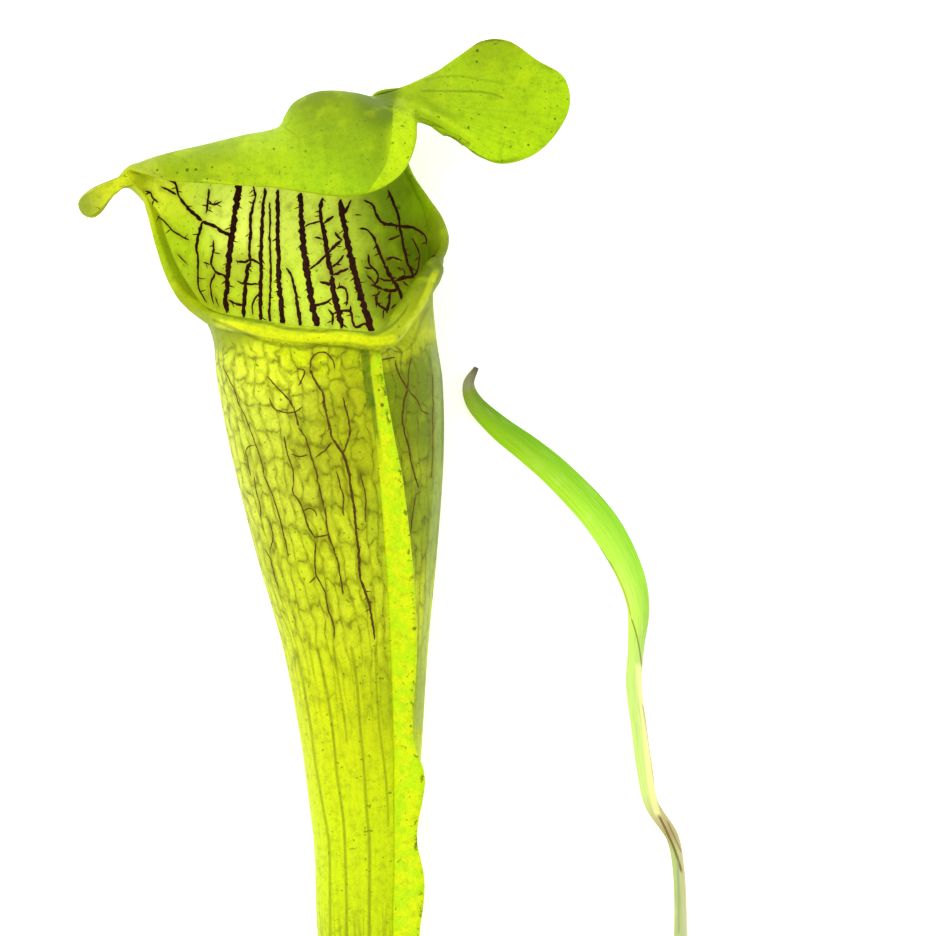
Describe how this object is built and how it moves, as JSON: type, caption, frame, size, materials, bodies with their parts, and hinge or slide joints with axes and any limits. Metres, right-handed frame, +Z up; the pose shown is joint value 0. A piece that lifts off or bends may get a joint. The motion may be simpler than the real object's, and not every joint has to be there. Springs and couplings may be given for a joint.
{
  "type": "trumpet pitcher plant",
  "caption": "Pale yellow-green trumpet pitcher leaf with rolled lip, front wing and wavy hood, beside a narrow twisted leaf, on a short rooted rhizome, lying on its back.",
  "frame": {"origin": "on the flat spot under the pitcher's mouth that the plant rests on", "axes": "+Y from the roots towards the hood, +Z up, which is the front of the pitcher, +X to the right seen from above"},
  "size_m": [0.1158, 0.406, 0.0403],
  "materials": {
    "pitcher": "satin, pale yellow-green with dark maroon veins",
    "narrow_leaf": "satin green, dry at the tip",
    "leaf_bud": "matte, papery scales",
    "rhizome": "matte, rough bark-like skin and wiry roots"
  },
  "bodies": {
    "root": {"pitcher": "pitcher", "narrow_leaf": "narrow_leaf", "leaf_bud": "leaf_bud", "rhizome": "rhizome"}
  },
  "joints": []
}
